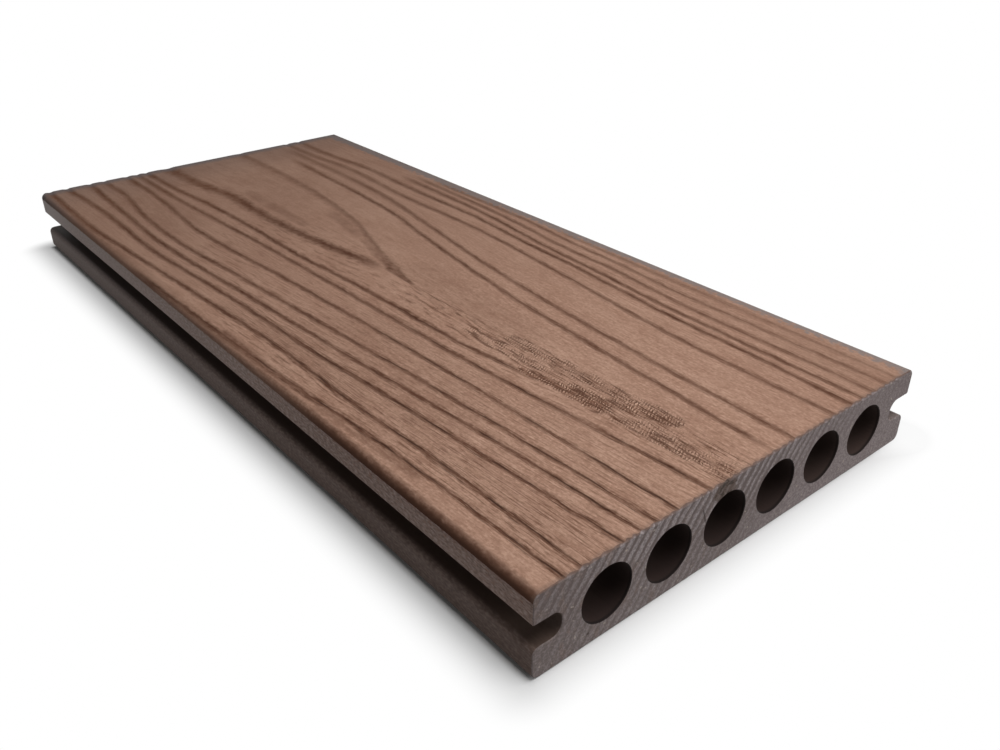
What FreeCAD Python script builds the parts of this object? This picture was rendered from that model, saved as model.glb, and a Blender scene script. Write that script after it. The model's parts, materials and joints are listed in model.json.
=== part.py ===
import FreeCAD, Part
import math
import os

# A short length of hollow wood-plastic composite decking board, extruded as one piece.
# Round chambers run through its core, and a clip groove runs along each long side.
# X runs along the board, Y across it and Z up through its thickness.
# The origin is at the middle of the underside. Lengths are in millimetres.

# Overall size of the board.
board_length = 300.0
board_width = 138.0
board_thickness = 23.0

# Chambers: the solid left above and below them, and the web left between neighbours.
face_wall = 4.2
chamber_web = 4.7

# Clip grooves: how deep they are cut, how high they are, how far above mid-thickness,
# and how much of the root is left flat between its two rounded corners.
groove_depth = 8.0
groove_height = 6.5
groove_rise = 0.25
groove_root_flat = 1.1

# Corner radii of the section.
tread_edge_radius = 2.2
underside_edge_radius = 2.0
upper_lip_radius = 0.5
lower_lip_radius = 1.8

# Sizes that follow from those above.
half_width = board_width / 2
groove_root_y = half_width - groove_depth
groove_centre_z = board_thickness / 2 + groove_rise
groove_floor_z = groove_centre_z - groove_height / 2
groove_ceiling_z = groove_centre_z + groove_height / 2
groove_root_radius = (groove_height - groove_root_flat) / 2
chamber_diameter = board_thickness - 2 * face_wall
chamber_centre_z = board_thickness / 2
chamber_pitch = chamber_diameter + chamber_web

# As many chambers as fit between the groove roots with a full web left beside the last ones.
core_width = 2 * groove_root_y
chamber_count = int((core_width - chamber_web) / chamber_pitch)

# The section is drawn at this end of the board and run along X to the other.
start_x = -board_length / 2


def side_corners():
    """The right side's corners from the bottom up, each as (y, z, radius)."""
    return [
        (half_width, 0.0, underside_edge_radius),
        (half_width, groove_floor_z, lower_lip_radius),
        (groove_root_y, groove_floor_z, groove_root_radius),
        (groove_root_y, groove_ceiling_z, groove_root_radius),
        (half_width, groove_ceiling_z, upper_lip_radius),
        (half_width, board_thickness, tread_edge_radius),
    ]


def section_corners():
    """Every corner of the section in order, the left side mirrored from the right."""
    right = side_corners()
    left = [(-y, z, radius) for y, z, radius in reversed(right)]
    return right + left


def rounded_wire(corners):
    """A closed wire across the board, straight between corners and rounded at each."""
    points = [FreeCAD.Vector(start_x, y, z) for y, z, radius in corners]
    rounds = []
    for i, (y, z, radius) in enumerate(corners):
        corner = points[i]
        back = (points[i - 1] - corner).normalize()
        ahead = (points[(i + 1) % len(points)] - corner).normalize()
        half_angle = back.getAngle(ahead) / 2
        inward = (back + ahead).normalize()
        tangent_length = radius / math.tan(half_angle)
        middle_distance = radius / math.sin(half_angle) - radius
        rounds.append(
            (
                corner + back * tangent_length,
                corner + inward * middle_distance,
                corner + ahead * tangent_length,
            )
        )
    edges = []
    for i, (start, middle, end) in enumerate(rounds):
        next_start = rounds[(i + 1) % len(rounds)][0]
        edges.append(Part.Arc(start, middle, end).toShape())
        edges.append(Part.LineSegment(end, next_start).toShape())
    return Part.Wire(edges)


def chamber_wires():
    """The chambers' circles in the section, centred across the board."""
    first_y = -chamber_pitch * (chamber_count - 1) / 2
    along = FreeCAD.Vector(1, 0, 0)
    wires = []
    for i in range(chamber_count):
        centre = FreeCAD.Vector(start_x, first_y + i * chamber_pitch, chamber_centre_z)
        wires.append(Part.Wire(Part.makeCircle(chamber_diameter / 2, centre, along)))
    return wires


def decking_board():
    """The whole board: its section with the chambers left out, run along its length."""
    outline = rounded_wire(section_corners())
    section = Part.makeFace([outline, *chamber_wires()], "Part::FaceMakerBullseye")
    return section.extrude(FreeCAD.Vector(board_length, 0, 0))


os.makedirs("parts", exist_ok=True)
board = decking_board()
board.exportStep("parts/decking_board.step")
print(chamber_count, "chambers of", round(chamber_diameter, 3), "mm at", round(chamber_pitch, 3), "mm pitch")
print("volume", round(board.Volume), "mm3, valid", board.isValid(), "solids", len(board.Solids))
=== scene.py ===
import json
import math

import bmesh
import bpy
import numpy as np
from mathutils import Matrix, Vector


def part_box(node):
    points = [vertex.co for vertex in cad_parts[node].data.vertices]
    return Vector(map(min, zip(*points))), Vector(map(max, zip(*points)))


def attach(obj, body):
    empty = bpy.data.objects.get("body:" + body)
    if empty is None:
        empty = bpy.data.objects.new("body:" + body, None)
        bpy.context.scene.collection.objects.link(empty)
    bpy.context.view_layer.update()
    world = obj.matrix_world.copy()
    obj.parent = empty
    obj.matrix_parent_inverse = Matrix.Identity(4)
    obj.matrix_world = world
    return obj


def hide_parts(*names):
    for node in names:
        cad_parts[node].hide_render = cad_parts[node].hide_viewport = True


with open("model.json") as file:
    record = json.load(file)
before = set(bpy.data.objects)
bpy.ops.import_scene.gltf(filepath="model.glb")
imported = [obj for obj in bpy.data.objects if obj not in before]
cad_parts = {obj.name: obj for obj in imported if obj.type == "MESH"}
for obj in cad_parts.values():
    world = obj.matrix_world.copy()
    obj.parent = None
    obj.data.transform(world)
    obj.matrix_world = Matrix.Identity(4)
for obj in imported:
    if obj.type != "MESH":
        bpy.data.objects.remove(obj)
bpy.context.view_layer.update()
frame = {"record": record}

# A short length of hollow composite decking board with an embossed wood-grain tread.
# X runs along the board towards the sawn end nearest the camera, Y across it and Z up.
# The origin is at the middle of the underside. Near is +X, far is -X, left is -Y and right is +Y.
# Shapes are worked out in millimetres, and each mesh is turned into metres as it is made.
MM = 0.001

box_low, box_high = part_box("decking_board")
board_length = (box_high.x - box_low.x) / MM
board_width = (box_high.y - box_low.y) / MM
board_thickness = (box_high.z - box_low.z) / MM
half_length = board_length / 2
half_width = board_width / 2

# The clip groove along each side, and the corner radii of the section.
groove_depth = 8.0
groove_floor_z = 8.5
groove_ceiling_z = 15.0
groove_root_radius = 2.7
tread_edge_radius = 2.2
underside_edge_radius = 2.0
upper_lip_radius = 0.5
lower_lip_radius = 1.8

# The round chambers, from the bores that the record states.
chambers = [
    (mount["pos_m"][1] / MM, mount["pos_m"][2] / MM, mount["dims"]["r_mm"])
    for mount in frame["record"]["mounts"]
    if mount["kind"] == "bore"
]
chamber_segments = 56
chamber_rows = 12

# The saw leaves a small broken edge all round each end, and tears small notches in the tread's near edge.
sawn_edge = 0.2
notch_depth = 0.5
notch_spacing = 3.0

# The tread is measured across by the length of its surface, over both rounded edges.
flat_half = half_width - tread_edge_radius
tread_half = flat_half + tread_edge_radius * math.pi / 2

# How finely the tread is meshed: along the board, and across it between the grain lines.
row_spacing = 1.7
fill_spacing = 0.75

# Across a grain line, the relief falls gently on its left side and rises more steeply on its right side.
# The offsets are where columns of the mesh run beside a line of the usual widths.
line_relief = 0.32
soft_width = 2.1
steep_width = 1.4
soft_offsets = np.array([0.25, 0.55, 0.95, 1.4, 2.0])
steep_offsets = np.array([0.2, 0.45, 0.8, 1.3])
least_gap = 1.0

# The rest of the tread's relief: a slow swell, the fine fibres, the ticked patches and the shaded hollows.
swell_relief = 0.07
fibre_relief = 0.05
chatter_relief = 0.14
hollow_relief = 0.22

# The board's materials, by their places in its list.
tread_slot, side_slot, sawn_slot, chamber_slot = range(4)


class Line:
    """One embossed grain line: its course, the stretch where it shows and the widths of its sides."""

    def __init__(self, points, shows=(-200, 200), strength=1.0, soft=soft_width, steep=steep_width):
        self.points = points
        self.shows = shows
        self.strength = strength
        self.soft = soft
        self.steep = steep


# The grain lines from the left edge to the right one, each from the far end to the near one.
grain_lines = [
    Line([(-150, -69.6), (-60, -69.0), (20, -66.4), (40, -65.6), (60, -64.3), (72, -63.3), (92, -62.3),
          (150, -60.7)], shows=(-60, 200)),
    Line([(-150, -65.4), (-100, -66), (-50, -62.8), (0, -59.4), (25, -58), (70, -57.7), (100, -56.4),
          (150, -56)]),
    Line([(-150, -58.8), (-115, -56.7), (-65, -57.3), (-15, -53.9), (20, -52.2), (40, -51.5), (58, -49.9),
          (75, -48.8), (110, -46.6), (150, -44.2)]),
    Line([(-150, -49.5), (-105, -51.2), (-75, -52.2), (0, -48.2), (50, -45), (100, -41.2), (150, -38.5)]),
    Line([(-150, -43.6), (-125, -43.2), (-105, -45.8), (-75, -47.3), (-20, -43.8), (40, -39.6), (80, -37),
          (150, -33.7)], strength=0.92),
    Line([(-150, -34.2), (-120, -34), (-70, -37), (-10, -33.2), (50, -30.2), (150, -27.2)], strength=0.9),
    Line([(-150, -29.6), (-110, -28.9), (-50, -25.6), (10, -23.4), (80, -21.1), (120, -18.1), (150, -15.9)],
         strength=0.88),
    Line([(-150, -25.6), (-120, -24.2), (-95, -21.8), (-70, -20.6), (-20, -19.9), (0, -18.4), (40, -17.2),
          (60, -16.7), (80, -14.6), (100, -12.8), (150, -12.6)], shows=(-200, 88)),
    Line([(-150, -16), (-115, -13), (-100, -10.4), (-75, -10.7), (-50, -9.9), (-20, -6.4), (-3, -4.6),
          (16, -4.8), (60, -6.7), (110, -8.2), (150, -8.8)], shows=(-200, 4), soft=4.6, steep=3.0),
    Line([(-150, 18.2), (-100, 18.5), (-60, 15.3), (-45, 12.9), (-25, 7.3), (-10, 2.7), (0, 0.4), (8, -2.2),
          (16, -3.7), (60, -1), (110, 1), (150, 2.5)], shows=(-200, 6), strength=0.58, soft=3.6, steep=1.6),
    Line([(-150, 33.8), (-110, 31.8), (-60, 29.7), (-35, 27.4), (-20, 24.4), (0, 21.1), (50, 14.2),
          (100, 10.2), (150, 6.8)], shows=(-132, 152), strength=0.9),
    Line([(-150, 38), (-110, 38.2), (-60, 36.6), (-20, 30.8), (10, 26), (60, 20.3), (110, 17), (150, 15.2)],
         shows=(-150, 200), strength=0.85),
    Line([(-150, 41.8), (-130, 42), (-100, 44.6), (-60, 42.6), (0, 42.4), (22, 40.7), (40, 39), (60, 36.8),
          (95, 33.6), (150, 31.9)], strength=0.85),
    Line([(-150, 48), (-130, 48.3), (-90, 51.1), (-60, 50.1), (-20, 50.3), (20, 47.4), (40, 46.5), (60, 44.9),
          (85, 42.8), (105, 42.1), (120, 41.5), (150, 39.7)]),
    Line([(-150, 56), (-70, 56.3), (-10, 54.4), (20, 51), (45, 49.5), (70, 47.3), (120, 45.3), (150, 44.7)],
         shows=(-82, 200), strength=0.95),
    Line([(-150, 61.8), (-50, 60), (-10, 58.7), (5, 57.4), (15, 56.1), (50, 54.6), (90, 51.1), (115, 50.7),
          (150, 49.8)], shows=(-80, 200), strength=0.8),
    Line([(-150, 64.6), (-40, 63), (0, 62.5), (20, 60.7), (50, 59.2), (75, 57.4), (110, 56.7), (150, 56)],
         shows=(-70, 200), strength=0.72),
    Line([(-150, 67), (0, 64.6), (50, 63.2), (100, 62.3), (150, 61)], shows=(0, 200), strength=0.55),
]
# The line that runs into the one before it, counted from 0, and so can't guide the grain between them.
merging_line = 9


class Stroke:
    """A soft-edged band of a surface mark along a route of (x, y) points, from one reach to another."""

    def __init__(self, points, reach, strength):
        self.points = points
        self.reach = reach
        self.strength = strength


# Where short ticks cross the grain, where its fine fibres show most, and where it has hollows,
# whose darkening is partly painted shade.
chatter_strokes = [
    Stroke([(82, -13.6), (94, -11.7), (110, -10.7)], (1.8, 3.9), 1.0),
    Stroke([(98, -8.8), (110, -7.4), (117, -4.4), (126, -1.8)], (1.6, 3.8), 0.9),
    Stroke([(115, -3.0), (122, -1.8)], (4.6, 5.0), 0.55),
    Stroke([(116, -12.4), (125, -10.6), (138, -9.8)], (1.4, 3.4), 0.65),
    Stroke([(122, -9.6), (150, -8.8)], (4.8, 4.6), 0.42),
    Stroke([(68, -4.0), (112, -2.4)], (4.4, 3.6), 0.47),
    Stroke([(56, -9.4), (84, -9.2)], (4.6, 3.4), 0.46),
    Stroke([(20, -9), (150, -7)], (7.5, 8.5), 0.24),
]
fibre_strokes = [
    Stroke([(0, -56), (70, -54), (150, -52)], (11.0, 14.0), 0.7),
    Stroke([(20, -9), (80, -8.8)], (8.0, 8.0), 0.75),
    Stroke([(84, -8.4), (150, -7)], (8.0, 10.0), 1.0),
    Stroke([(-40, -30), (150, -30)], (40.0, 40.0), 0.35),
    Stroke([(40, 50), (150, 45)], (20.0, 24.0), 0.25),
]
hollow_strokes = [
    Stroke([(-6, 0.8), (3, -1.8)], (1.6, 3.4), 0.75),
    Stroke([(3, -1.8), (8, -2.9), (17, -4.0)], (3.4, 0.9), 0.85),
    Stroke([(-24, 4.5), (-10, 1.0), (0, -0.6)], (2.2, 3.6), 0.42),
    Stroke([(-55, 10.2), (-30, 6.0)], (3.6, 3.6), 0.3),
    Stroke([(-98, -3.6), (-52, -4.2)], (3.4, 3.0), 0.3),
    Stroke([(-125, -39.5), (-80, -40)], (14.0, 14.0), 0.12),
    Stroke([(10, 3.0), (68, 0.0)], (10.0, 9.0), 0.15),
    Stroke([(35, -44), (80, -44)], (26.0, 24.0), 0.13),
    Stroke([(90, -54.5), (148, -54.5)], (8.0, 8.0), 0.1),
    Stroke([(94, -20.2), (120, -18.4)], (1.3, 1.3), 0.6),
    Stroke([(134, -16.9), (150, -16.2)], (1.0, 1.0), 0.9),
    Stroke([(70, -63.5), (83, -62.9)], (1.0, 1.0), 1.0),
    Stroke([(-85, -66.8), (0, -66.6)], (1.8, 1.8), 0.25),
    Stroke([(10, -66.5), (44, -66.0), (64, -65.0)], (2.3, 1.0), 0.85),
    Stroke([(64, -65.2), (104, -63.6)], (2.4, 2.2), 0.42),
    Stroke([(84, 51.2), (150, 49.4)], (1.9, 2.1), 0.35),
    Stroke([(66, 57.4), (100, 56.4), (150, 55.5)], (2.0, 2.3), 0.32),
    Stroke([(60, 62.8), (100, 61.8), (150, 60.5)], (2.0, 2.3), 0.32),
    Stroke([(70, 60), (150, 56)], (9.0, 13.0), 0.08),
    Stroke([(118, 57.5), (150, 56)], (10.0, 14.0), 0.22),
]


def smooth_step(value, low, high):
    """0 below low, 1 above high and a smooth rise between them."""
    t = np.clip((value - low) / (high - low), 0, 1)
    return t * t * (3 - 2 * t)


def smooth_course(points, x):
    """A smooth curve y(x) through a few points."""
    px, py = np.array(points, float).T
    slopes = np.gradient(py, px)
    i = np.clip(np.searchsorted(px, x) - 1, 0, len(px) - 2)
    step = px[i + 1] - px[i]
    t = (x - px[i]) / step
    rise = (py[i + 1] - py[i]) * t * t * (3 - 2 * t)
    start_bend = t * (1 - t) ** 2 * step * slopes[i]
    end_bend = t * t * (t - 1) * step * slopes[i + 1]
    return py[i] + rise + start_bend + end_bend


def wander(random, x, wavelengths, amplitude):
    """A gentle irregular curve along x, made of a few waves at random phases."""
    total = np.zeros_like(x)
    for wavelength in wavelengths:
        total += np.sin(2 * math.pi * x / wavelength + random.uniform(0, 2 * math.pi))
    return amplitude * total / len(wavelengths)


def stroke_mask(strokes, x, y):
    """How strongly the strokes mark each point, from 0 to 1. They start to fade at 0.4 of their reach."""
    mask = np.zeros(np.broadcast(x, y).shape)
    for stroke in strokes:
        nearest = np.full(mask.shape, np.inf)
        reaches = np.linspace(*stroke.reach, len(stroke.points))
        spans = zip(stroke.points, stroke.points[1:], reaches, reaches[1:])
        for (x0, y0), (x1, y1), start_reach, end_reach in spans:
            dx, dy = x1 - x0, y1 - y0
            t = np.clip(((x - x0) * dx + (y - y0) * dy) / (dx * dx + dy * dy), 0, 1)
            distance = np.hypot(x - x0 - t * dx, y - y0 - t * dy)
            nearest = np.minimum(nearest, distance / (start_reach + t * (end_reach - start_reach)))
        mask = np.maximum(mask, stroke.strength * (1 - smooth_step(nearest, 0.4, 1.0)))
    return mask


def tread_surface(across):
    """The plain tread at a surface distance across it: its y and z, and its normal's y and z."""
    side = np.sign(across)
    angle = np.maximum(np.abs(across) - flat_half, 0) / tread_edge_radius
    y = side * (np.minimum(np.abs(across), flat_half) + tread_edge_radius * np.sin(angle))
    z = board_thickness - tread_edge_radius * (1 - np.cos(angle))
    return y, z, side * np.sin(angle), np.cos(angle)


def rounded_corner(before, corner, after, radius):
    """Points round a corner of the section, with one more on the straight at each side of it."""
    support = 0.2
    segment_length = 0.45
    back = np.subtract(before, corner) / math.dist(before, corner)
    ahead = np.subtract(after, corner) / math.dist(after, corner)
    half_angle = math.acos(np.dot(back, ahead)) / 2
    inward = (back + ahead) / np.linalg.norm(back + ahead)
    centre = corner + inward * radius / math.sin(half_angle)
    start = corner + back * radius / math.tan(half_angle)
    end = corner + ahead * radius / math.tan(half_angle)
    turn = math.pi - 2 * half_angle
    segments = max(3, round(radius * turn / segment_length))
    points = [start + back * support]
    for i in range(segments + 1):
        share = i / segments
        reach = math.sin((1 - share) * turn) * (start - centre) + math.sin(share * turn) * (end - centre)
        points.append(centre + reach / math.sin(turn))
    points.append(end + ahead * support)
    return points


def lower_outline():
    """The section from the tread's right edge down round the grooves and underside to its left edge."""
    edge_z = board_thickness - tread_edge_radius
    root_y = half_width - groove_depth
    right = [
        (half_width, edge_z, 0.0),
        (half_width, groove_ceiling_z, upper_lip_radius),
        (root_y, groove_ceiling_z, groove_root_radius),
        (root_y, groove_floor_z, groove_root_radius),
        (half_width, groove_floor_z, lower_lip_radius),
        (half_width, 0.0, underside_edge_radius),
    ]
    left = [(-y, z, radius) for y, z, radius in reversed(right)]
    corners = right + left
    points = []
    for i in range(1, len(corners) - 1):
        before, corner, after = corners[i - 1][:2], corners[i][:2], corners[i + 1][:2]
        points += rounded_corner(before, corner, after, corners[i][2])
    return np.array(points)


def grain_layout(x):
    """Where each grain line runs across the tread and how strongly it shows, at every x."""
    fade_in = 22.0
    fade_out = 14.0
    random = np.random.default_rng(7)
    courses, strengths = [], []
    for line in grain_lines:
        course = smooth_course(line.points, x) + wander(random, x, (43.0, 21.0, 9.5), 0.15)
        if courses:
            course = np.maximum(course, courses[-1] + least_gap)
        start, end = line.shows
        shown = smooth_step(x, start, start + fade_in) * (1 - smooth_step(x, end - fade_out, end))
        unevenness = 0.86 + wander(random, x, (67.0, 31.0, 14.0), 0.14)
        courses.append(course)
        strengths.append(line.strength * shown * unevenness)
    return np.array(courses), np.array(strengths)


def beside(offsets, room):
    """Distances of the columns beside a grain line, drawn in where there is little room."""
    most_of_room = 0.92
    fit = np.minimum(1.0, most_of_room * room / offsets[-1])
    return [offset * fit for offset in offsets]


def between(start, end):
    """Columns evenly spaced between two others, without those two."""
    steps = max(1, math.ceil(np.max(end - start) / fill_spacing))
    return [start + (end - start) * i / steps for i in range(1, steps)]


def tread_columns(courses):
    """Columns across the tread that follow the grain, and the line that each strip belongs to.

    A column is its distance across the tread at every row. Strips change from one line to the
    next at the column halfway between the two.
    """
    edge = np.full(courses.shape[1], tread_half)
    halfway = [(a + b) / 2 for a, b in zip(courses, courses[1:])]
    starts = [-edge, *halfway]
    ends = [*halfway, edge]
    columns = [-edge]
    owners = []
    for i, (start, course, end) in enumerate(zip(starts, courses, ends)):
        line = grain_lines[i]
        soft = beside(soft_offsets * line.soft / soft_width, course - start)
        steep = beside(steep_offsets * line.steep / steep_width, end - course)
        soft = [course - offset for offset in reversed(soft)]
        steep = [course + offset for offset in steep]
        near = [*soft, course, *steep]
        strip = [*between(start, near[0]), *near, *between(near[-1], end), end]
        columns += strip
        owners += [i] * len(strip)
    return np.array(columns), np.array(owners)


class Tread:
    """The tread's mesh before its relief: its rows, its columns, its plain surface and its marks."""

    def __init__(self, x):
        self.x = x
        self.courses, self.strengths = grain_layout(x)
        self.columns, self.owners = tread_columns(self.courses)
        self.plain_y, self.plain_z, self.normal_y, self.normal_z = tread_surface(self.columns)
        self.chatter = stroke_mask(chatter_strokes, x, self.plain_y)
        self.fibre = stroke_mask(fibre_strokes, x, self.plain_y)
        self.hollow = stroke_mask(hollow_strokes, x, self.plain_y)


def grain_flow(tread):
    """How far across the near end each column would come out, if it kept its place between the lines."""
    guides = np.delete(tread.courses, merging_line, axis=0)
    edge = np.full((1, len(tread.x)), tread_half)
    knots = np.concatenate([-edge, guides, edge])
    rows = zip(tread.columns.T, knots.T)
    return np.array([np.interp(columns, row_knots, knots[:, -1]) for columns, row_knots in rows])


def tread_relief(tread):
    """How far the embossed tread lies below the plain one, at every column and row."""
    random = np.random.default_rng(11)
    relief = np.maximum(chatter_relief * tread.chatter, hollow_relief * tread.hollow)
    for line, course, strength in zip(grain_lines, tread.courses, tread.strengths):
        distance = tread.columns - course
        soft = 1 - smooth_step(-distance, 0, line.soft)
        steep = 1 - smooth_step(distance, 0, line.steep)
        relief = np.maximum(relief, line_relief * strength * np.minimum(soft, steep))
    leaning = np.sin(tread.x / 27 + tread.columns / 6.5)
    counter = np.sin(tread.x / 41 - tread.columns / 9 + 2)
    relief = relief + swell_relief * (0.5 + 0.25 * (leaning + counter))
    for i, fibre in enumerate(tread.fibre):
        relief[i] += fibre_relief * fibre * (0.5 + wander(random, tread.x, (37.0, 19.0, 8.0), 0.5))
    return relief * (1 - smooth_step(np.abs(tread.columns), flat_half + 1.2, tread_half - 0.3))


def saw_notches(y):
    """How deep the saw's notches are at each place across the tread's near edge."""
    random = np.random.default_rng(5)
    phase = math.pi * y / notch_spacing + wander(random, y, (23.0, 11.0), 1.2)
    depth = notch_depth * (0.7 + wander(random, y, (17.0, 7.0), 0.3))
    inside = 1 - smooth_step(np.abs(y), half_width - 9, half_width - 4)
    return depth * np.sin(phase) ** 2 * inside


def ring_places(count):
    """Where rings of vertices lie along the board: one at each end, and the rest within the broken edges."""
    inner = np.linspace(-half_length + sawn_edge, half_length - sawn_edge, count)
    return np.array([-half_length, *inner, half_length])


def sawn_cut(x):
    """How much the broken edge takes off each ring: all of it at both ends, none between."""
    cut = np.zeros(len(x))
    cut[[0, -1]] = sawn_edge
    return cut


def lower_points(x, right_end, left_end):
    """The section below the tread at every row, between the tread's two ends, with its broken edges."""
    lower = lower_outline()
    loop = np.concatenate([[right_end], lower, [left_end]])
    direction = loop[2:] - loop[:-2]
    direction /= np.linalg.norm(direction, axis=1, keepdims=True)
    outward = np.stack([-direction[:, 1], direction[:, 0]], axis=-1)
    return lower[:, None] - outward[:, None] * sawn_cut(x)[:, None]


def outer_rings(tread):
    """The board's outside, as a closed ring of vertices at each row: the tread first, then the rest."""
    notches = saw_notches(tread.plain_y[:, -1])
    cut = tread_relief(tread) + sawn_cut(tread.x)
    cut[:, -1] += notches
    upper = np.stack([tread.plain_y - tread.normal_y * cut, tread.plain_z - tread.normal_z * cut], axis=-1)
    section = np.concatenate([upper, lower_points(tread.x, upper[-1, 1], upper[0, 1])])
    rings = np.empty((len(tread.x), len(section), 3))
    rings[..., 0] = tread.x[:, None]
    rings[-2, :len(notches), 0] -= notches
    rings[..., 1:] = section.transpose(1, 0, 2)
    return rings


def chamber_rings(x, centre_y, centre_z, radius):
    """A chamber's wall, as a ring of vertices at each x, wider at both ends by the broken edge."""
    angles = np.arange(chamber_segments) * 2 * math.pi / chamber_segments
    radii = (radius + sawn_cut(x))[:, None]
    rings = np.empty((len(x), chamber_segments, 3))
    rings[..., 0] = x[:, None]
    rings[..., 1] = centre_y + radii * np.cos(angles)
    rings[..., 2] = centre_z + radii * np.sin(angles)
    return rings


def tube_faces(tube, start):
    """Quads between the closed rings of a tube, whose vertices are numbered from start."""
    ring_count, ring_length = tube.shape[:2]
    rows, columns = np.meshgrid(np.arange(ring_count - 1), np.arange(ring_length), indexing="ij")
    ahead = (columns + 1) % ring_length
    corners = [rows * ring_length + columns, (rows + 1) * ring_length + columns,
               (rows + 1) * ring_length + ahead, rows * ring_length + ahead]
    return start + np.stack(corners, axis=-1).reshape(-1, 4)


def fill_triangles(loops):
    """Triangles between an outline and the holes after it, as indices into all their points in order."""
    flat = bmesh.new()
    for loop in loops:
        verts = [flat.verts.new((y, z, 0)) for y, z in loop]
        for a, b in zip(verts, verts[1:] + verts[:1]):
            flat.edges.new((a, b))
    flat.verts.index_update()
    bmesh.ops.triangle_fill(flat, use_beauty=True, edges=flat.edges[:], normal=(0, 0, 1))
    triangles = []
    for face in flat.faces:
        face.normal_update()
        indices = [vert.index for vert in face.verts]
        triangles.append(indices if face.normal.z > 0 else indices[::-1])
    flat.free()
    return np.array(triangles)


def end_faces(tubes, starts, near):
    """Triangles over the near or the far end of the board, between its outline and its chambers."""
    numbers, loops = [], []
    for tube, start in zip(tubes, starts):
        ring = len(tube) - 1 if near else 0
        numbers.append(start + ring * tube.shape[1] + np.arange(tube.shape[1]))
        loops.append(tube[ring, :, 1:])
    triangles = np.concatenate(numbers)[fill_triangles(loops)]
    return triangles if near else triangles[:, ::-1]


def outside_slots(tread, ring_length):
    """The material of each face of the outside: the tread's, the sides', or the sawn one at both ends."""
    slots = np.full((len(tread.x) - 1, ring_length), side_slot)
    slots[:, :len(tread.owners)] = tread_slot
    slots[[0, -1]] = sawn_slot
    return slots.ravel()


def store(mesh, name, domain, vectors, count):
    """Keeps a vector for each point or face corner of the mesh, and zeros for the ones after those."""
    vectors = vectors.reshape(-1, 3)
    vectors = np.pad(vectors, ((0, count - len(vectors)), (0, 0)))
    attribute = mesh.attributes.new(name, "FLOAT_VECTOR", domain)
    attribute.data.foreach_set("vector", vectors.ravel())


def store_marks(mesh, tread, ring_length):
    """Keeps at each point where it lies in the grain's flow, and how strongly it is marked."""
    flow = np.zeros((len(tread.x), ring_length, 3))
    marks = np.zeros_like(flow)
    flow[..., 0] = tread.x[:, None]
    flow[:, :len(tread.columns), 1] = grain_flow(tread)
    marks[:, :len(tread.columns)] = np.stack([tread.chatter, tread.fibre, tread.hollow]).transpose(2, 1, 0)
    store(mesh, "flow", "POINT", flow, len(mesh.vertices))
    store(mesh, "marks", "POINT", marks, len(mesh.vertices))


def store_grain(mesh, tread, ring_length):
    """Keeps at each face corner its distance from its grain line, and how strong the line is there.

    The distance is kept in millimetres, and also as a share of the width of the line's side.
    """
    row_count = len(tread.x) - 1
    strip_count = len(tread.owners)
    lines = [grain_lines[owner] for owner in tread.owners]
    soft_widths = np.array([line.soft for line in lines])[:, None]
    steep_widths = np.array([line.steep for line in lines])[:, None]
    grain = np.zeros((row_count, ring_length, 4, 3))
    for corner, (row_step, column_step) in enumerate(((0, 0), (1, 0), (1, 1), (0, 1))):
        at_row = slice(row_step, row_count + row_step)
        at_column = slice(column_step, strip_count + column_step)
        distance = tread.columns[at_column, at_row] - tread.courses[tread.owners, at_row]
        strength = tread.strengths[tread.owners, at_row]
        share = distance / np.where(distance < 0, soft_widths, steep_widths)
        grain[:, :strip_count, corner] = np.stack([distance, strength, share]).transpose(2, 1, 0)
    store(mesh, "grain", "CORNER", grain, len(mesh.loops))


def board_mesh(materials):
    """The whole board as one closed mesh, with what the tread's material reads about its grain."""
    tread = Tread(ring_places(round(board_length / row_spacing) + 1))
    outside = outer_rings(tread)
    chamber_x = ring_places(chamber_rows)
    tubes = [outside, *(chamber_rings(chamber_x, *chamber) for chamber in chambers)]
    vertices = [tube.reshape(-1, 3) for tube in tubes]
    starts = np.cumsum([0, *(len(points) for points in vertices[:-1])])
    walls = [tube_faces(tube, start) for tube, start in zip(tubes, starts)]
    ends = [end_faces(tubes, starts, near) for near in (False, True)]
    faces = [face for group in (*walls, *ends) for face in group.tolist()]
    ring_length = outside.shape[1]
    slots = [
        outside_slots(tread, ring_length),
        np.full(sum(len(group) for group in walls[1:]), chamber_slot),
        np.full(sum(len(group) for group in ends), sawn_slot),
    ]

    mesh = bpy.data.meshes.new("decking_board_dressed")
    mesh.from_pydata(np.concatenate(vertices) * MM, [], faces)
    for material in materials:
        mesh.materials.append(material)
    mesh.polygons.foreach_set("material_index", np.concatenate(slots))
    mesh.polygons.foreach_set("use_smooth", np.ones(len(mesh.polygons), bool))
    mesh.update()
    mesh.set_sharp_from_angle(angle=math.radians(35))
    store_marks(mesh, tread, ring_length)
    store_grain(mesh, tread, ring_length)
    return mesh


def paint(red, green, blue):
    """A colour from the 0 to 255 values that it has on screen."""
    linear = []
    for value in (red, green, blue):
        share = value / 255
        linear.append(share / 12.92 if share <= 0.04045 else ((share + 0.055) / 1.055) ** 2.4)
    return (*linear, 1.0)


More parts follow.
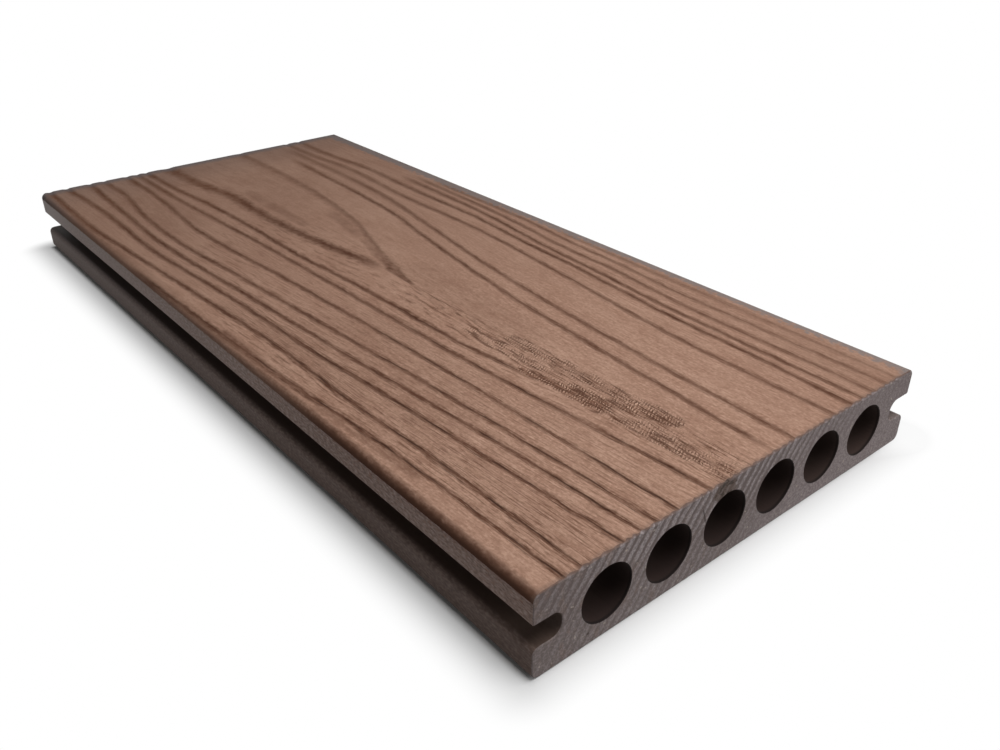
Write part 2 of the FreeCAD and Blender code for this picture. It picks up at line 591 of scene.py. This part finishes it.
class Nodes:
    """A node tree, built by calls that each add a node or a few and give back what they put out."""

    def __init__(self, tree):
        self.tree = tree

    def feed(self, socket, value):
        """Gives a socket another socket's output or a plain value."""
        if isinstance(value, bpy.types.NodeSocket):
            self.tree.links.new(value, socket)
        else:
            socket.default_value = value

    def calculate(self, operation, a, b=0.0):
        node = self.tree.nodes.new("ShaderNodeMath")
        node.operation = operation
        self.feed(node.inputs[0], a)
        self.feed(node.inputs[1], b)
        return node.outputs[0]

    def add(self, a, b):
        return self.calculate("ADD", a, b)

    def times(self, a, b):
        return self.calculate("MULTIPLY", a, b)

    def larger(self, a, b):
        return self.calculate("MAXIMUM", a, b)

    def scaled(self, value, factor, offset):
        """The value times a factor, plus an offset."""
        return self.add(self.times(value, factor), offset)

    def rise(self, value, low, high):
        """0 below low, 1 above high and a smooth rise between them."""
        node = self.tree.nodes.new("ShaderNodeMapRange")
        node.interpolation_type = "SMOOTHSTEP"
        self.feed(node.inputs["Value"], value)
        self.feed(node.inputs["From Min"], low)
        self.feed(node.inputs["From Max"], high)
        return node.outputs["Result"]

    def fall(self, value, low, high):
        """1 below low, 0 above high and a smooth fall between them."""
        return self.calculate("SUBTRACT", 1.0, self.rise(value, low, high))

    def ridge(self, value, centre, core, reach):
        """1 where the value is within core of the centre, fading to 0 at reach."""
        distance = self.calculate("ABSOLUTE", self.calculate("SUBTRACT", value, centre))
        return self.fall(distance, core, reach)

    def wave(self, travel, spacing):
        """A sine wave from -1 to 1 along a distance, with the given spacing of its crests."""
        return self.calculate("SINE", self.times(travel, 2 * math.pi / spacing))

    def attribute(self, name):
        node = self.tree.nodes.new("ShaderNodeAttribute")
        node.attribute_name = name
        return node.outputs["Vector"]

    def split(self, vector):
        node = self.tree.nodes.new("ShaderNodeSeparateXYZ")
        self.feed(node.inputs[0], vector)
        return node.outputs[0], node.outputs[1], node.outputs[2]

    def place(self):
        """The point on the object in millimetres."""
        coordinates = self.tree.nodes.new("ShaderNodeTexCoord")
        return self.stretch(coordinates.outputs["Object"], (1 / MM, 1 / MM, 1 / MM))

    def stretch(self, vector, factors):
        node = self.tree.nodes.new("ShaderNodeVectorMath")
        node.operation = "MULTIPLY"
        self.feed(node.inputs[0], vector)
        self.feed(node.inputs[1], factors)
        return node.outputs[0]

    def noise(self, vector, size, detail=2.0):
        """Noise from 0 to 1, with grains of about the given size along X, Y and Z in millimetres."""
        node = self.tree.nodes.new("ShaderNodeTexNoise")
        self.feed(node.inputs["Vector"], self.stretch(vector, [1 / length for length in size]))
        node.inputs["Scale"].default_value = 1.0
        node.inputs["Detail"].default_value = detail
        return node.outputs["Fac"]

    def sway(self, vector, size, reach):
        """Noise from -reach to reach."""
        return self.scaled(self.noise(vector, size), 2 * reach, -reach)

    def mix(self, share, a, b):
        """One colour turning into another as share goes from 0 to 1."""
        node = self.tree.nodes.new("ShaderNodeMix")
        node.data_type = "RGBA"
        self.feed(node.inputs[0], share)
        self.feed(node.inputs[6], a)
        self.feed(node.inputs[7], b)
        return node.outputs[2]

    def tint(self, colour, mask, amount, shade):
        """The colour, turned into a shade by the given amount where the mask is 1."""
        return self.mix(self.times(mask, amount), colour, shade)

    def layers(self, colour, *tints):
        """The colour under one tint after another, each its mask, its amount and its shade on screen."""
        for mask, amount, shade in tints:
            colour = self.tint(colour, mask, amount, paint(*shade))
        return colour

    def shader(self, kind, colour, strength=None):
        """A shader of one plain colour."""
        node = self.tree.nodes.new(kind)
        node.inputs["Color"].default_value = colour
        if strength is not None:
            node.inputs["Strength"].default_value = strength
        return node.outputs[0]

    def blend(self, share, a, b):
        """One shader turning into another as share goes from 0 to 1."""
        node = self.tree.nodes.new("ShaderNodeMixShader")
        self.feed(node.inputs[0], share)
        self.feed(node.inputs[1], a)
        self.feed(node.inputs[2], b)
        return node.outputs[0]


class Surface(Nodes):
    """A material of the board, with one Principled shader."""

    def __init__(self, name, roughness, specular):
        self.material = bpy.data.materials.new(name)
        self.material.use_nodes = True
        super().__init__(self.material.node_tree)
        self.principled = self.tree.nodes["Principled BSDF"]
        self.principled.inputs["Roughness"].default_value = roughness
        self.principled.inputs["Specular IOR Level"].default_value = specular

    def finish(self, colour, height):
        """Sets the colour, and the fine relief as a height in millimetres."""
        bump = self.tree.nodes.new("ShaderNodeBump")
        bump.inputs["Distance"].default_value = MM
        self.feed(bump.inputs["Height"], height)
        self.feed(self.principled.inputs["Base Color"], colour)
        self.feed(self.principled.inputs["Normal"], bump.outputs["Normal"])
        return self.material


def tread_ground(nodes, place, flow, fibre):
    """Mottled brown with flakes and specks, and fibres along the grain where the strokes put them.

    The flakes and specks are crisper towards the near end.
    """
    mottle = nodes.noise(flow, (55.0, 10.0, 1.0), detail=3.0)
    blotches = nodes.noise(flow, (16.0, 5.0, 1.0), detail=3.0)
    streaks = nodes.noise(flow, (22.0, 1.1, 1.0), detail=3.0)
    flakes = nodes.noise(flow, (4.5, 0.8, 1.0), detail=3.0)
    specks = nodes.noise(place, (0.9, 0.6, 0.9))
    fibres = nodes.noise(flow, (8.0, 0.38, 1.0))
    x, y, _ = nodes.split(place)
    calmer = nodes.scaled(nodes.rise(y, 5.0, 50.0), -0.45, 1.0)
    crisp = nodes.scaled(nodes.times(nodes.rise(x, -50.0, 100.0), calmer), 0.65, 0.35)
    colour = nodes.mix(nodes.rise(mottle, 0.3, 0.7), paint(150, 118, 101), paint(161, 129, 111))
    dark_fibres = nodes.times(nodes.rise(fibres, 0.51, 0.66), nodes.scaled(fibre, 0.85, 0.08))
    colour = nodes.layers(
        colour,
        (nodes.rise(blotches, 0.42, 0.7), 0.4, (138, 105, 88)),
        (nodes.rise(streaks, 0.35, 0.75), 0.4, (137, 104, 87)),
        (nodes.rise(flakes, 0.5, 0.72), nodes.times(crisp, 0.38), (122, 90, 74)),
        (nodes.fall(flakes, 0.28, 0.48), nodes.times(crisp, 0.4), (182, 149, 129)),
        (nodes.rise(specks, 0.5, 0.7), nodes.times(crisp, 0.4), (118, 87, 71)),
        (nodes.fall(specks, 0.3, 0.48), nodes.times(crisp, 0.32), (188, 155, 135)),
        (nodes.fall(fibres, 0.3, 0.44), nodes.times(fibre, 0.4), (188, 155, 134)),
        (dark_fibres, 1.0, (92, 62, 47)),
        (nodes.fall(x, -half_length, -half_length + 35), 0.3, (112, 98, 92)),
    )
    height = nodes.add(nodes.times(specks, 0.07), nodes.times(flakes, -0.07))
    return colour, nodes.add(height, nodes.times(dark_fibres, -0.08))


def tread_lines(nodes, colour, height, flow, grain, hollow):
    """Brown valleys along the grain lines, with broken dark hairlines on the near left part.

    The valleys are narrower there, and wider, paler and warmer towards the far end, most of all on its
    right side. Their brown, and the hollows', is partly the grain's own colour and partly painted shade.
    """
    # Each hairline's place beside its line, the noise at which it breaks and is whole, and its darkness.
    hairlines = ((0.05, 0.43, 0.58, 0.85), (-0.95, 0.5, 0.62, 0.5))
    across, strength, side = grain
    x, y, _ = nodes.split(flow)
    far = nodes.fall(x, -half_length, -40.0)
    far_right = nodes.times(nodes.fall(x, -80.0, 10.0), nodes.rise(y, 4.0, 14.0))
    near_left = nodes.times(nodes.rise(x, 50.0, 140.0), nodes.fall(y, -22.0, 5.0))
    drift = nodes.sway(flow, (7.0, 3.0, 1.0), 0.5)
    frayed = nodes.sway(flow, (2.4, 0.7, 1.0), 0.5)
    strands = nodes.sway(flow, (9.0, 0.4, 1.0), 0.5)
    sideways = nodes.add(nodes.times(drift, 0.4), nodes.times(frayed, 0.8))
    sideways = nodes.add(sideways, nodes.times(strands, nodes.times(nodes.rise(x, -40.0, 60.0), 1.2)))
    distance = nodes.calculate("ABSOLUTE", nodes.add(side, sideways))
    width = nodes.add(nodes.scaled(far, 0.45, 1.0), nodes.times(near_left, -0.28))
    width = nodes.add(width, nodes.times(far_right, 0.4))
    depth = nodes.add(nodes.scaled(far, -0.1, 1.0), nodes.times(far_right, -0.22))
    valley = nodes.times(nodes.fall(distance, 0.0, width), nodes.times(strength, depth))
    worn = nodes.scaled(nodes.noise(flow, (4.0, 2.0, 1.0)), 1.2, 0.2)
    uneven = nodes.scaled(nodes.noise(flow, (3.0, 1.0, 1.0)), 0.6, 0.7)
    valley = nodes.times(nodes.larger(valley, nodes.times(hollow, worn)), uneven)
    # The valleys' and hollows' brown: partly the grain's own colour, partly painted shade.
    colour = nodes.mix(valley, colour, nodes.mix(far, paint(78, 50, 37), paint(94, 60, 42)))

    cracked = nodes.times(nodes.rise(x, -30.0, 70.0), nodes.fall(y, -22.0, 12.0))
    shown = nodes.times(nodes.scaled(cracked, 0.85, 0.15), strength)
    jagged = nodes.add(across, nodes.times(drift, 0.6))
    for centre, breaks, whole, darkness in hairlines:
        kept = nodes.rise(nodes.noise(flow, (12.0, 2.0, 1.0)), breaks, whole)
        line = nodes.times(nodes.times(nodes.ridge(jagged, centre, 0.05, 0.38), shown), kept)
        colour = nodes.tint(colour, line, darkness, paint(47, 31, 24))
        height = nodes.add(height, nodes.times(line, -0.12))
    return colour, height


def tread_ticks(nodes, colour, height, place, flow, chatter):
    """Short ticks that cross the grain, woven with rows along it, and paler flecks between them."""
    tick_spacing = 0.95
    row_spacing_across = 0.8
    lean = 0.45
    x, y, _ = nodes.split(place)
    wobble = nodes.add(nodes.noise(place, (3.0, 1.6, 1.0)), nodes.noise(place, (1.7, 0.8, 1.0)))
    travel = nodes.add(nodes.add(x, nodes.times(y, lean)), nodes.times(wobble, 1.3))
    wave = nodes.wave(travel, tick_spacing)
    _, across, _ = nodes.split(flow)
    drift = nodes.times(nodes.noise(flow, (12.0, 2.5, 1.0)), 3.0)
    row_wave = nodes.wave(nodes.add(across, drift), row_spacing_across)
    patches = nodes.rise(nodes.noise(flow, (2.4, 0.7, 1.0)), 0.36, 0.58)
    rows = nodes.rise(nodes.noise(flow, (7.0, 0.5, 1.0)), 0.5, 0.6)
    ticks = nodes.times(nodes.rise(wave, -0.2, 0.9), nodes.times(patches, nodes.rise(x, 20.0, 85.0)))
    clumps = nodes.scaled(nodes.noise(flow, (5.0, 1.3, 1.0)), 3.2, -0.6)
    shown = nodes.rise(nodes.times(chatter, clumps), 0.08, 0.62)
    dark = nodes.times(nodes.larger(ticks, rows), shown)
    flecks = nodes.times(nodes.fall(wave, -0.9, 0.1), nodes.rise(row_wave, -0.7, 0.5))
    pale = nodes.times(nodes.times(flecks, patches), shown)
    heart = nodes.calculate("POWER", chatter, 3.0)
    colour = nodes.tint(colour, heart, nodes.scaled(shown, 0.4, 0.25), paint(112, 79, 63))
    colour = nodes.tint(colour, pale, 0.85, paint(192, 159, 138))
    colour = nodes.tint(colour, dark, 0.75, paint(72, 46, 35))
    return colour, nodes.add(height, nodes.times(dark, -0.14))


def tread_rims(nodes, colour, place):
    """The tread's edges: dark brown down the left rounding, and worn grey on the right and at both ends."""
    x, y, _ = nodes.split(place)
    ragged = nodes.sway(place, (2.0, 1.2, 1.2), 2.0)
    far_left = nodes.fall(x, -half_length, -85.0)
    rounding_painted_shade_share = nodes.add(nodes.times(nodes.rise(x, 20.0, 85.0), 0.7), nodes.scaled(far_left, 0.4, 0.3))
    left = nodes.add(y, nodes.times(ragged, 0.4))
    left = nodes.fall(left, -half_width + 0.1, -half_width + 2.7)
    wider = nodes.times(nodes.fall(x, -half_length, 130.0), 2.2)
    right = nodes.add(nodes.add(y, wider), nodes.times(ragged, 1.7))
    right = nodes.rise(right, half_width - 4.8, half_width - 2.8)
    corner = nodes.add(nodes.add(x, y), ragged)
    corner = nodes.rise(corner, half_length + half_width - 7.5, half_length + half_width - 4.5)
    far = nodes.fall(nodes.add(x, ragged), -half_length + 1.0, -half_length + 6.6)
    near = nodes.rise(nodes.add(x, nodes.times(ragged, 0.3)), half_length - 1.5, half_length - 0.4)
    # Painted shade over the left rounding's own dark brown: strongest near, greyer at the far left.
    rounding_brown_and_painted_shade = nodes.mix(far_left, paint(80, 54, 42), paint(116, 102, 98))
    colour = nodes.tint(colour, left, rounding_painted_shade_share, rounding_brown_and_painted_shade)
    return nodes.layers(
        colour,
        (near, 0.45, (110, 90, 80)),
        (far, 0.9, (112, 104, 103)),
        (nodes.larger(right, corner), 0.85, (118, 110, 108)),
    )


def tread_material():
    """The brown tread: mottled, with fibres along the grain, dark grain lines and ticked patches."""
    nodes = Surface("tread_brown", roughness=0.85, specular=0.06)
    place = nodes.place()
    flow = nodes.attribute("flow")
    grain = nodes.split(nodes.attribute("grain"))
    chatter, fibre, hollow = nodes.split(nodes.attribute("marks"))
    colour, height = tread_ground(nodes, place, flow, fibre)
    colour, height = tread_lines(nodes, colour, height, flow, grain, hollow)
    colour, height = tread_ticks(nodes, colour, height, place, flow, chatter)
    return nodes.finish(tread_rims(nodes, colour, place), height)


def left_groove_painted_shade(nodes, place):
    """Where the left groove is, and its painted shade: paler towards the near end, but dark at its mouth."""
    x, y, z = nodes.split(place)
    behind_lips = nodes.rise(y, -half_width + 0.1, -half_width + 1.8)
    on_left = nodes.fall(y, -10.0, 10.0)
    above_floor = nodes.rise(z, groove_floor_z - 1.3, groove_floor_z - 0.1)
    below_ceiling = nodes.fall(z, groove_ceiling_z - 0.1, groove_ceiling_z + 0.6)
    inside = nodes.times(nodes.times(behind_lips, on_left), nodes.times(above_floor, below_ceiling))
    # Painted shade in the groove: paler towards the near end and darkest at its mouth.
    shade = nodes.mix(nodes.rise(x, -100.0, 130.0), paint(52, 41, 36), paint(84, 69, 61))
    mouth = nodes.rise(x, half_length - 12, half_length - 1)
    return inside, nodes.tint(shade, mouth, 0.6, paint(52, 42, 37))


def side_material():
    """The smooth core that the die drew along the sides, the grooves and the underside.

    It is grey-mauve on the left, and grey on the right. Painted sheen makes it paler towards the far end,
    most of all on its upper lip, and painted shade darkens it below the groove and inside the left groove.
    The tread's brown is smeared over its upper lip.
    """
    nodes = Surface("side_mauve", roughness=0.6, specular=0.1)
    place = nodes.place()
    x, y, z = nodes.split(place)
    mottle = nodes.noise(place, (40.0, 6.0, 6.0), detail=3.0)
    drag = nodes.noise(place, (60.0, 0.5, 0.5))
    grit = nodes.noise(place, (1.4, 0.6, 0.6))
    specks = nodes.rise(nodes.noise(place, (1.8, 0.5, 0.5), detail=1.0), 0.55, 0.7)
    smeared = nodes.times(specks, nodes.rise(z, groove_ceiling_z - 1, board_thickness - 2))
    on_upper_lip = nodes.rise(z, groove_ceiling_z - 5, groove_ceiling_z)
    # Painted sheen: the upper lip is painted paler towards the far end.
    far_painted_sheen = nodes.times(nodes.fall(x, -half_length, -half_length + 45), on_upper_lip)
    on_right = nodes.rise(y, 50.0, 60.0)
    # Painted shade: darker below the groove, stopping a little lower on the right.
    lower = nodes.add(z, nodes.times(on_right, 1.6))
    lower = nodes.fall(lower, groove_floor_z - 0.7, groove_floor_z + 0.9)
    ragged = nodes.add(z, nodes.times(nodes.noise(place, (2.0, 1.0, 1.0)), 2.0))
    rounding = nodes.rise(ragged, board_thickness - 1.5, board_thickness - 0.9)
    colour = nodes.layers(
        nodes.mix(nodes.rise(mottle, 0.3, 0.7), paint(144, 121, 112), paint(157, 134, 125)),
        (nodes.rise(drag, 0.4, 0.65), 0.35, (124, 103, 94)),
        (nodes.rise(grit, 0.48, 0.64), 0.6, (106, 88, 79)),
        (nodes.fall(grit, 0.34, 0.48), 0.5, (188, 167, 157)),
        (smeared, 0.5, (138, 94, 70)),
        # Painted sheen: paler towards the far end, and most of all on the far upper lip.
        (nodes.fall(x, -half_length, 80.0), 0.5, (192, 176, 171)),
        (far_painted_sheen, 0.6, (212, 200, 197)),
        # Painted shade below the groove.
        (lower, 0.6, (72, 60, 54)),
        (on_right, 0.75, (112, 103, 101)),
        (rounding, 0.85, (108, 76, 60)),
    )
    # Painted shade inside the left groove.
    inside, shade = left_groove_painted_shade(nodes, place)
    return nodes.finish(nodes.tint(colour, inside, 0.95, shade), nodes.times(drag, 0.04))


def saw_marks(nodes, place):
    """Slanting stripes that the saw left, strongest left of the middle: 0 between them, 1 on their crests."""
    lean = math.radians(55)
    wide_spacing = 2.45
    fine_spacing = 1.2
    _, y, z = nodes.split(place)
    bend = nodes.times(nodes.noise(place, (8.0, 8.0, 8.0)), 2.0)
    travel = nodes.add(nodes.times(y, math.sin(lean)), nodes.times(z, -math.cos(lean)))
    travel = nodes.add(travel, bend)
    fine = nodes.times(nodes.wave(travel, fine_spacing), 0.35)
    marks = nodes.rise(nodes.add(nodes.wave(travel, wide_spacing), fine), -0.8, 0.8)
    broken = nodes.rise(nodes.noise(place, (2.2, 2.2, 2.2)), 0.1, 0.5)
    least = nodes.scaled(nodes.fall(y, -30.0, 20.0), 0.35, 0.25)
    high = nodes.larger(nodes.rise(z, 3.0, 19.0), least)
    along = nodes.times(nodes.fall(y, -5.0, 75.0), nodes.rise(y, -95.0, -30.0))
    return nodes.times(nodes.times(marks, broken), nodes.times(high, along))


def near_flaws(nodes, colour, place):
    """The crack, the nick and the blotted stain that only the near end has."""
    x, y, z = nodes.split(place)
    near = nodes.rise(x, 0.0, 1.0)
    slanted = nodes.add(y, nodes.times(z, 1 / 3))
    crack = nodes.times(nodes.ridge(slanted, -12.35, 0.1, 0.45), nodes.ridge(z, 16.3, 1.6, 2.6))
    nick = nodes.times(nodes.ridge(y, -53.4, 0.1, 0.6), nodes.ridge(z, 3.2, 0.1, 0.5))
    stain_y = nodes.calculate("POWER", nodes.times(nodes.add(y, 11.2), 1 / 4.8), 2.0)
    stain_z = nodes.calculate("POWER", nodes.times(nodes.add(z, -20.4), 1 / 2.6), 2.0)
    ragged = nodes.sway(place, (1.6, 1.6, 1.6), 0.7)
    stain = nodes.fall(nodes.add(nodes.add(stain_y, stain_z), ragged), 0.6, 1.1)
    stain = nodes.times(stain, near)
    blots = nodes.times(nodes.rise(nodes.noise(place, (1.3, 1.3, 0.9)), 0.5, 0.58), stain)
    return nodes.layers(
        colour,
        (nodes.times(crack, near), 0.75, (56, 47, 44)),
        (nodes.times(nick, near), 0.75, (56, 47, 44)),
        (stain, 0.75, (82, 68, 61)),
        (blots, 0.7, (48, 42, 38)),
    )


def sawn_material():
    """The sawn ends: grey-mauve, paler on the right, with saw marks, grit, pale flecks and small flaws."""
    nodes = Surface("sawn_grey", roughness=0.9, specular=0.1)
    place = nodes.place()
    _, y, z = nodes.split(place)
    marks = saw_marks(nodes, place)
    grit = nodes.noise(place, (0.55, 0.55, 0.55))
    flecks = nodes.rise(nodes.noise(place, (1.1, 0.9, 0.9), detail=0.0), 0.76, 0.84)
    high = nodes.rise(z, 2.0, 19.0)
    right = nodes.rise(nodes.add(y, nodes.times(high, -30.0)), -25.0, 30.0)
    tinge = nodes.rise(nodes.noise(place, (2.5, 2.5, 4.0)), 0.5, 0.66)
    ground = nodes.mix(high, paint(108, 98, 96), paint(96, 85, 83))
    colour = nodes.layers(
        nodes.mix(marks, ground, paint(142, 133, 133)),
        (right, nodes.scaled(high, -0.15, 0.7), (136, 126, 126)),
        (nodes.times(tinge, nodes.fall(y, -60.0, 20.0)), 0.3, (116, 95, 83)),
        (nodes.rise(grit, 0.42, 0.62), 0.6, (92, 83, 80)),
        (nodes.fall(grit, 0.3, 0.44), 0.2, (160, 149, 146)),
        (flecks, 0.45, (176, 164, 152)),
        (nodes.rise(z, board_thickness - 0.6, board_thickness - 0.2), 0.8, (98, 77, 68)),
    )
    colour = near_flaws(nodes, colour, place)
    return nodes.finish(colour, nodes.add(nodes.times(marks, 0.06), nodes.times(grit, 0.06)))


def chamber_material():
    """The chambers' walls, with painted shade that is darkest near their mouths, and a black ring at the rim.
    """
    nodes = Surface("chamber_dark", roughness=0.8, specular=0.1)
    place = nodes.place()
    x, y, _ = nodes.split(place)
    from_middle = nodes.calculate("ABSOLUTE", x)
    drag = nodes.noise(place, (30.0, 0.7, 0.7))
    colour = nodes.mix(drag, paint(100, 84, 77), paint(118, 100, 92))
    # Painted shade near the mouths, with less of it in the chambers towards the right.
    mouth = nodes.rise(from_middle, half_length - 20, half_length - 2)
    mouth_painted_shade = nodes.mix(nodes.rise(y, 0.0, 50.0), paint(39, 29, 27), paint(56, 44, 40))
    colour = nodes.tint(colour, mouth, 0.94, mouth_painted_shade)
    rim = nodes.rise(from_middle, half_length - 0.9, half_length - 0.3)
    colour = nodes.tint(colour, rim, 0.8, paint(18, 14, 13))
    return nodes.finish(colour, nodes.times(drag, 0.05))


def put(name, data):
    """Adds an object with the given mesh, lamp or camera to the scene."""
    thing = bpy.data.objects.new(name, data)
    bpy.context.scene.collection.objects.link(thing)
    return thing


def make_board():
    """The dressed board, in the place of the plain solid."""
    materials = [tread_material(), side_material(), sawn_material(), chamber_material()]
    board = put("decking_board_dressed", board_mesh(materials))
    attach(board, "root")
    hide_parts("decking_board")


def show_to_camera(nodes, lit, white):
    """Shows one shader to the camera and in reflections, and lights the object with the other."""
    path = nodes.tree.nodes.new("ShaderNodeLightPath")
    seen = nodes.larger(path.outputs["Is Camera Ray"], path.outputs["Is Glossy Ray"])
    return nodes.blend(nodes.larger(seen, path.outputs["Is Transmission Ray"]), lit, white)


def white_share(nodes):
    """How much of the floor is plain white instead of shadowed, by the distance from the board.

    The shadow is full where the board touches the floor. Painted light thins it out towards the far
    end, and more at the near right corner.
    """
    touching = 2.0
    least_white = 0.22
    least_white_far = 0.35
    white_from = 14.0
    end_haste = 1.3
    x, y, _ = nodes.split(nodes.place())
    beyond_end = nodes.larger(nodes.add(nodes.calculate("ABSOLUTE", x), -half_length), 0.0)
    beyond_end = nodes.times(beyond_end, end_haste)
    beyond_side = nodes.larger(nodes.add(nodes.calculate("ABSOLUTE", y), -half_width), 0.0)
    squares = nodes.add(nodes.times(beyond_end, beyond_end), nodes.times(beyond_side, beyond_side))
    distance = nodes.calculate("SQRT", squares)
    # Painted light: white laid over the shadow at the near right corner.
    near_right_painted_light = nodes.times(nodes.rise(x, half_length - 20, half_length),
                             nodes.rise(y, half_width - 17, half_width + 1))
    away = nodes.larger(nodes.rise(distance, 0.0, white_from), nodes.times(near_right_painted_light, 0.8))
    # Painted light: more white over the shadow towards the far end.
    least = nodes.scaled(nodes.fall(x, -half_length, 0.0), least_white_far - least_white, least_white)
    least = nodes.times(nodes.rise(distance, -0.3, touching), least)
    return nodes.add(away, nodes.times(nodes.calculate("SUBTRACT", 1.0, away), least))


def make_floor():
    """A wide pale floor just under the board: it keeps the shadow there and is plain white further out."""
    half = 3.0
    drop = 0.00005
    pale = (0.4, 0.4, 0.4, 1)
    # Painted shade: the floor is grey where its shadow shows, which deepens the shadow beside the board.
    shaded = (0.63, 0.63, 0.63, 1)
    white = (1, 1, 1, 1)
    mesh = bpy.data.meshes.new("floor")
    corners = [(-half, -half, -drop), (half, -half, -drop), (half, half, -drop), (-half, half, -drop)]
    mesh.from_pydata(corners, [], [(0, 1, 2, 3)])
    material = bpy.data.materials.new("floor_white")
    material.use_nodes = True
    nodes = Nodes(material.node_tree)
    nodes.tree.nodes.clear()
    shadowed = nodes.shader("ShaderNodeBsdfDiffuse", shaded)
    glow = nodes.shader("ShaderNodeEmission", white, strength=1.0)
    seen = nodes.blend(white_share(nodes), shadowed, glow)
    lit = nodes.shader("ShaderNodeBsdfDiffuse", pale)
    output = nodes.tree.nodes.new("ShaderNodeOutputMaterial")
    nodes.feed(output.inputs["Surface"], show_to_camera(nodes, lit, seen))
    mesh.materials.append(material)
    put("floor", mesh)


def make_world():
    """Faint soft light from all round, and white behind the object."""
    white = (1, 1, 1, 1)
    world = bpy.data.worlds.new("studio")
    world.use_nodes = True
    nodes = Nodes(world.node_tree)
    nodes.tree.nodes.clear()
    faint = nodes.shader("ShaderNodeBackground", white, strength=0.02)
    bright = nodes.shader("ShaderNodeBackground", white, strength=1.0)
    output = nodes.tree.nodes.new("ShaderNodeOutputWorld")
    nodes.feed(output.inputs["Surface"], show_to_camera(nodes, faint, bright))
    bpy.context.scene.world = world


def softbox(name, place, aim, size, watts):
    """A square lamp at a place in metres, turned to a point."""
    lamp = bpy.data.lights.new(name, "AREA")
    lamp.shape = "SQUARE"
    lamp.size = size
    lamp.energy = watts
    holder = put(name, lamp)
    holder.location = place
    holder.rotation_euler = (Vector(aim) - Vector(place)).to_track_quat("-Z", "Y").to_euler()


def make_camera():
    """The photograph's viewpoint, worked out from the section's and the board's own edges."""
    camera = bpy.data.cameras.new("camera")
    camera.sensor_width = 36.0
    camera.lens = 33.6452
    holder = put("camera", camera)
    holder.location = (0.24791, -0.15896, 0.148095)
    holder.rotation_euler = [math.radians(angle) for angle in (60.0491, -0.0558, 50.2473)]
    bpy.context.scene.camera = holder


make_board()
make_floor()
make_world()
softbox("key", place=(0.207, 0.05, 0.453), aim=(0.08, 0, 0), size=0.3, watts=2.35)
softbox("end_fill", place=(0.9, 0.15, 0.3), aim=(0.1, 0, 0), size=0.5, watts=3.1)
softbox("left_fill", place=(0.1, -0.8, 0.35), aim=(0, 0, 0), size=0.5, watts=0.4)
make_camera()
bpy.context.scene.view_settings.view_transform = "Standard"
